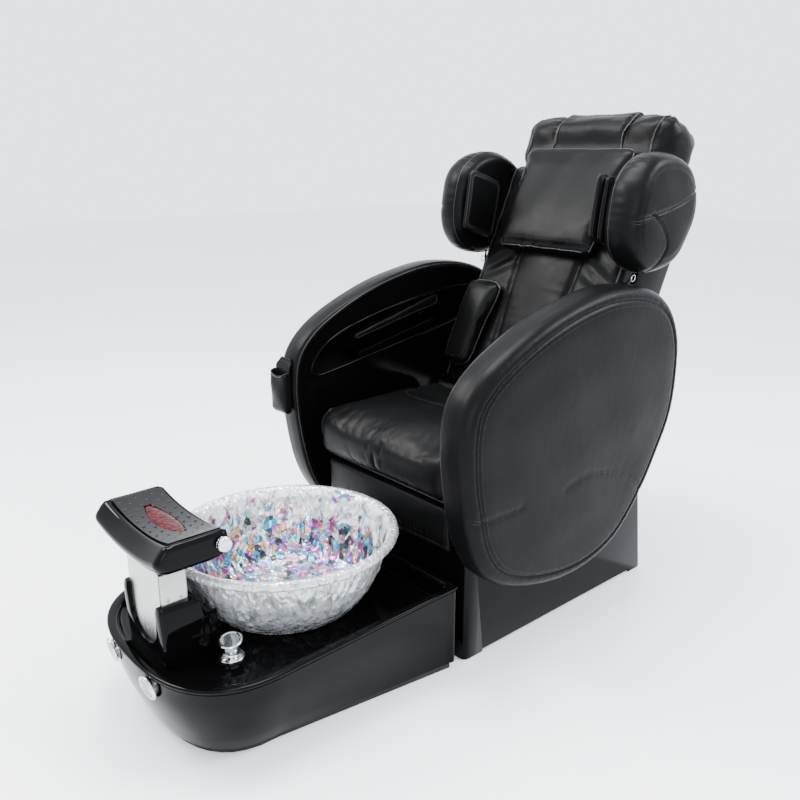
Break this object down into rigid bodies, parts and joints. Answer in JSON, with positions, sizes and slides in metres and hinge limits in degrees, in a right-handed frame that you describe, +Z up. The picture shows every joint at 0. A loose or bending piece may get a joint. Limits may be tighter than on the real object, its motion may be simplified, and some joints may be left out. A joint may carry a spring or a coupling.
{
  "type": "pedicure spa chair",
  "caption": "Reclining massage seat with arms, shoulder wings and head pillow on a box base, joined to a round-nosed foot tub with a clear bowl, tap and tilting footrest.",
  "frame": {"origin": "on the floor at the middle of the chair base", "axes": "+Z up; the sitter faces -Y, so the foot tub is towards -Y and the backrest towards +Y; +X is to the sitter's left"},
  "size_m": [0.79, 1.7508, 1.3846],
  "materials": {
    "black_leather": "satin",
    "gloss_black_shell": "gloss",
    "brushed_stainless": "brushed",
    "chrome": "polished",
    "clear_resin": "gloss",
    "painted_steel": "matte",
    "black_plastic": "matte",
    "red_lens": "gloss",
    "black_plywood": "matte"
  },
  "bodies": {
    "base": {"base_plate": "black_plywood", "base_skirt": "gloss_black_shell", "frame_side_left": "painted_steel", "frame_side_right": "painted_steel", "service_panel": "black_plastic", "water_inlet_hot": "chrome", "water_inlet_cold": "chrome", "slide_rail_left": "painted_steel", "slide_rail_right": "painted_steel", "slide_actuator": "black_plastic", "arm_shell_left": "black_leather", "arm_shell_right": "black_leather", "arm_liner_left": "gloss_black_shell", "arm_liner_right": "gloss_black_shell", "arm_airbag_left": "black_leather", "arm_airbag_right": "black_leather", "remote_pocket": "black_leather", "splash_panel": "black_leather", "tub_plinth": "black_plastic", "tub_skirt": "gloss_black_shell", "tub_deck": "gloss_black_shell", "foot_bowl": "clear_resin", "bowl_drain": "chrome", "drain_pump": "black_plastic", "mixer_base": "chrome", "button_bezel_left": "chrome", "button_bezel_right": "chrome", "pedestal_shroud": "gloss_black_shell", "column": "brushed_stainless"},
    "seat": {"seat_cushion": "black_leather", "seat_pan": "painted_steel", "slide_runner_left": "brushed_stainless", "slide_runner_right": "brushed_stainless", "slide_rod": "brushed_stainless", "recline_actuator": "black_plastic"},
    "backrest": {"back_cushion": "black_leather", "back_crown": "black_leather", "back_shell": "gloss_black_shell", "pivot_tube": "painted_steel", "back_upright_left": "painted_steel", "back_upright_right": "painted_steel", "lumbar_pad_left": "black_leather", "lumbar_pad_right": "black_leather", "wing_left": "black_leather", "wing_right": "black_leather", "wing_airbag_left": "black_leather", "wing_airbag_right": "black_leather"},
    "recline_rod": {"recline_rod": "brushed_stainless"},
    "head_pillow": {"head_pillow": "black_leather"},
    "massage_carriage": {"massage_carriage": "black_plastic"},
    "massage_roller_left": {"massage_roller_left": "black_plastic"},
    "massage_roller_right": {"massage_roller_right": "black_plastic"},
    "footrest": {"footrest_shell": "gloss_black_shell", "footrest_pad": "black_plastic", "footrest_inlay": "red_lens", "footrest_pin": "painted_steel"},
    "tilt_knob": {"tilt_knob": "chrome"},
    "mixer_handle": {"mixer_handle": "chrome"},
    "air_button_left": {"air_button_left": "chrome"},
    "air_button_right": {"air_button_right": "chrome"}
  },
  "joints": [
    {"name": "seat_slide", "type": "slide", "parent": "base", "child": "seat", "axis": [0, 1, 0], "range_m": [0, 0.1]},
    {"name": "recline", "type": "hinge", "parent": "seat", "child": "backrest", "pos_m": [0, 0.085, 0.485], "axis": [-1, 0, 0], "range_deg": [0, 35]},
    {"name": "recline_drive", "type": "slide", "parent": "seat", "child": "recline_rod", "axis": [0, -1, 0], "range_m": [0, 0.066]},
    {"name": "pillow_flip", "type": "hinge", "parent": "backrest", "child": "head_pillow", "pos_m": [0, 0.35686, 1.2788], "axis": [-1, 0, 0], "range_deg": [0, 75]},
    {"name": "carriage_travel", "type": "slide", "parent": "backrest", "child": "massage_carriage", "axis": [0, 0.4258, 0.9048], "range_m": [-0.15, 0.35]},
    {"name": "roller_spin_left", "type": "hinge", "parent": "massage_carriage", "child": "massage_roller_left", "pos_m": [0.066, 0.25877, 0.79557], "axis": [1, 0, 0], "continuous": true},
    {"name": "roller_spin_right", "type": "hinge", "parent": "massage_carriage", "child": "massage_roller_right", "pos_m": [-0.066, 0.25877, 0.79557], "axis": [1, 0, 0], "continuous": true},
    {"name": "footrest_tilt", "type": "hinge", "parent": "base", "child": "footrest", "pos_m": [0, -1.082, 0.427], "axis": [1, 0, 0], "range_deg": [-15, 15]},
    {"name": "knob_turn", "type": "hinge", "parent": "footrest", "child": "tilt_knob", "pos_m": [0.1633, -1.006, 0.493], "axis": [1, 0, 0], "range_deg": [-90, 90]},
    {"name": "mixer_turn", "type": "hinge", "parent": "base", "child": "mixer_handle", "pos_m": [0.137, -0.989, 0.2126], "axis": [0, 0, 1], "range_deg": [-45, 45]},
    {"name": "button_press_left", "type": "slide", "parent": "base", "child": "air_button_left", "axis": [-0.0972, 0.972, 0.2138], "range_m": [0, 0.004], "stiffness_N_per_m": 600, "springref_m": -0.003},
    {"name": "button_press_right", "type": "slide", "parent": "base", "child": "air_button_right", "axis": [0.0972, 0.972, 0.2138], "range_m": [0, 0.004], "stiffness_N_per_m": 600, "springref_m": -0.003}
  ],
  "couplings": [
    {"joint": "recline_drive", "follows": "recline", "m_per_rad": 0.105}
  ]
}
